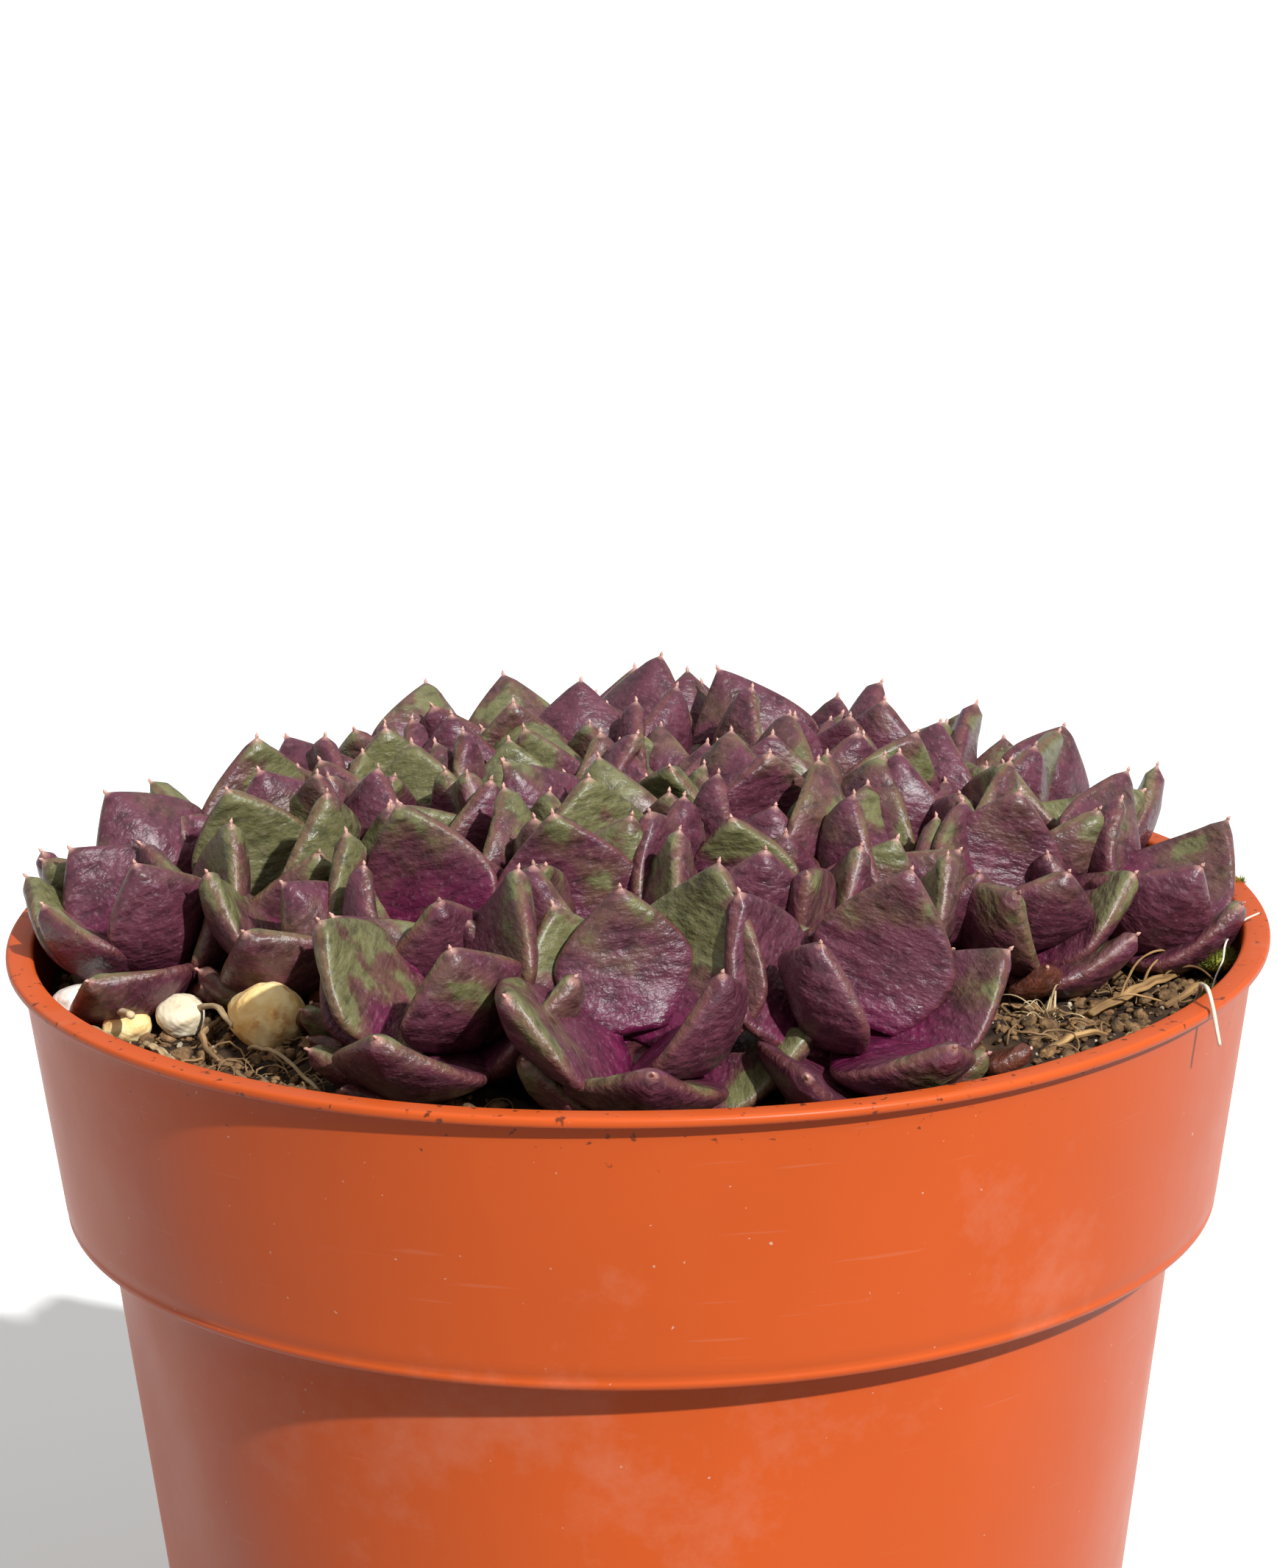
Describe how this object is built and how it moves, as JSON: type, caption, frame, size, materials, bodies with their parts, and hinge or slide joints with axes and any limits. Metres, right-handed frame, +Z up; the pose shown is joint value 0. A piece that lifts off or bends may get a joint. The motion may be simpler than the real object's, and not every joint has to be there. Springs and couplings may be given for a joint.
{
  "type": "potted succulent",
  "caption": "Cushion of small thick-leaved succulent rosettes growing in soil in a round tapered plastic nursery pot with a deep collar.",
  "frame": {"origin": "centre of the foot ring that the pot stands on", "axes": "+Z up out of the pot, +Y away from the side that shows the bare soil at the left and right"},
  "size_m": [0.105, 0.105, 0.1038],
  "materials": {
    "pot": "satin, moulded polypropylene with dust and fine scratches",
    "soil": "matt, crumbly potting mix with grit and fibres",
    "leaf": "satin succulent skin, olive green to purple",
    "stone_pale": "matt",
    "stone_yellow": "matt",
    "moss": "matt, tufted",
    "straw": "dry, fibrous"
  },
  "bodies": {
    "root": {"pot": "pot", "soil": "soil", "rosette_01": "leaf", "rosette_02": "leaf", "rosette_03": "leaf", "rosette_04": "leaf", "rosette_05": "leaf", "rosette_06": "leaf", "rosette_07": "leaf", "rosette_08": "leaf", "rosette_09": "leaf", "rosette_10": "leaf", "rosette_11": "leaf", "rosette_12": "leaf", "rosette_13": "leaf", "rosette_14": "leaf", "rosette_15": "leaf", "rosette_16": "leaf", "rosette_17": "leaf", "rosette_18": "leaf", "rosette_19": "leaf", "rosette_20": "leaf", "rosette_21": "leaf", "rosette_22": "leaf", "rosette_23": "leaf", "rosette_24": "leaf", "rosette_25": "leaf", "rosette_26": "leaf", "rosette_27": "leaf", "rosette_28": "leaf", "rosette_29": "leaf", "rosette_30": "leaf", "rosette_31": "leaf", "rosette_32": "leaf", "rosette_33": "leaf", "rosette_34": "leaf", "rosette_35": "leaf", "rosette_36": "leaf", "rosette_37": "leaf", "rosette_38": "leaf", "rosette_39": "leaf", "rosette_40": "leaf", "rosette_41": "leaf", "rosette_42": "leaf", "stone_white": "stone_pale", "stone_yellow_small": "stone_yellow", "stone_cream": "stone_pale", "stone_yellow": "stone_yellow", "moss_tuft": "moss", "straw_thick": "straw", "straw_thin": "straw", "twig_left": "straw", "twig_front": "straw", "root_right": "straw", "root_fork": "straw", "root_small": "straw", "root_hanging": "straw"}
  },
  "joints": []
}
